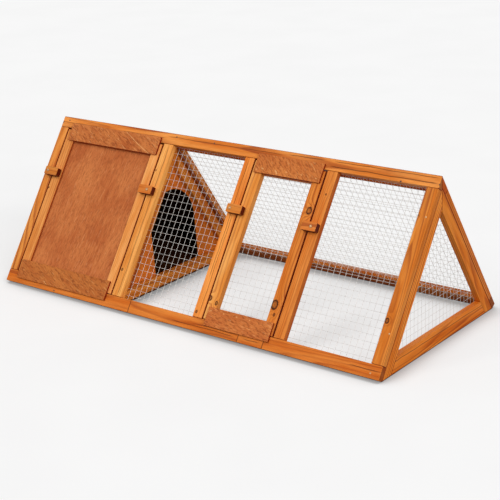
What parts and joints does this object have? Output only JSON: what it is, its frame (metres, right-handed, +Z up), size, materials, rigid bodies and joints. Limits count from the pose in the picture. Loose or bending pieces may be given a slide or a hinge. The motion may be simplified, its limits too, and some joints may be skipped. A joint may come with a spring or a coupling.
{
  "type": "outdoor rabbit run",
  "caption": "A-frame outdoor rabbit run of wooden frames and wire mesh, with a boarded sleeping area behind an arched doorway and two lift-off front doors held by turn buttons.",
  "frame": {"origin": "centre of the footprint, on the ground", "axes": "+X along the ridge towards the mesh end, +Y from the front with its doors to the back, +Z up"},
  "size_m": [1.18, 0.536, 0.4031],
  "materials": {
    "board": "satin stained softwood",
    "strip": "satin stained plywood strip",
    "ply": "matte stained plywood",
    "dark_ply": "matte stained plywood",
    "wire": "galvanised",
    "screw": "zinc plated"
  },
  "bodies": {
    "frame": {"front_top_rail": "board", "front_bottom_rail": "board", "front_left_stile": "board", "front_partition_stile": "board", "front_middle_stile": "board", "front_bay_stile": "board", "front_right_stile": "board", "front_middle_mesh": "wire", "front_right_mesh": "wire", "back_top_rail": "board", "back_bottom_rail": "board", "back_left_stile": "board", "back_partition_stile": "board", "back_right_stile": "board", "back_mesh": "wire", "back_panel": "ply", "right_end_front_leg": "board", "right_end_back_leg": "board", "right_end_cross_rail": "board", "right_end_mesh": "wire", "left_end_front_leg": "board", "left_end_back_leg": "board", "left_end_cross_rail": "board", "left_end_panel": "dark_ply", "partition_panel": "ply", "partition_front_batten": "board", "partition_back_batten": "board", "partition_bottom_batten": "board", "floor_panel": "dark_ply", "floor_left_batten": "board", "floor_partition_batten": "board", "house_left_screw": "screw", "house_right_screw": "screw", "mesh_left_screw": "screw", "mesh_right_screw": "screw"},
    "house_door": {"house_door_left_stile": "board", "house_door_right_stile": "board", "house_door_top_rail": "board", "house_door_bottom_rail": "board", "house_door_panel": "ply", "house_door_top_strip": "strip", "house_door_bottom_strip": "strip"},
    "mesh_door": {"mesh_door_left_stile": "board", "mesh_door_right_stile": "board", "mesh_door_top_rail": "board", "mesh_door_bottom_rail": "board", "mesh_door_mesh": "wire", "mesh_door_top_strip": "strip", "mesh_door_bottom_strip": "strip"},
    "house_left_button": {"house_left_button": "board"},
    "house_right_button": {"house_right_button": "board"},
    "mesh_left_button": {"mesh_left_button": "board"},
    "mesh_right_button": {"mesh_right_button": "board"}
  },
  "joints": [
    {"name": "house_door_lift", "type": "slide", "parent": "frame", "child": "house_door", "axis": [0, -0.8271, 0.5621], "range_m": [0, 0.3]},
    {"name": "mesh_door_lift", "type": "slide", "parent": "frame", "child": "mesh_door", "axis": [0, -0.8271, 0.5621], "range_m": [0, 0.3]},
    {"name": "house_left_turn", "type": "hinge", "parent": "frame", "child": "house_left_button", "pos_m": [-0.567, -0.09061, 0.27002], "axis": [0, -0.8271, 0.5621], "range_deg": [-90, 90]},
    {"name": "house_right_turn", "type": "hinge", "parent": "frame", "child": "house_right_button", "pos_m": [-0.208, -0.09094, 0.26952], "axis": [0, -0.8271, 0.5621], "range_deg": [-90, 90]},
    {"name": "mesh_left_turn", "type": "hinge", "parent": "frame", "child": "mesh_left_button", "pos_m": [0.0645, -0.09398, 0.26506], "axis": [0, -0.8271, 0.5621], "range_deg": [-90, 90]},
    {"name": "mesh_right_turn", "type": "hinge", "parent": "frame", "child": "mesh_right_button", "pos_m": [0.3065, -0.09758, 0.25976], "axis": [0, -0.8271, 0.5621], "range_deg": [-90, 90]}
  ]
}
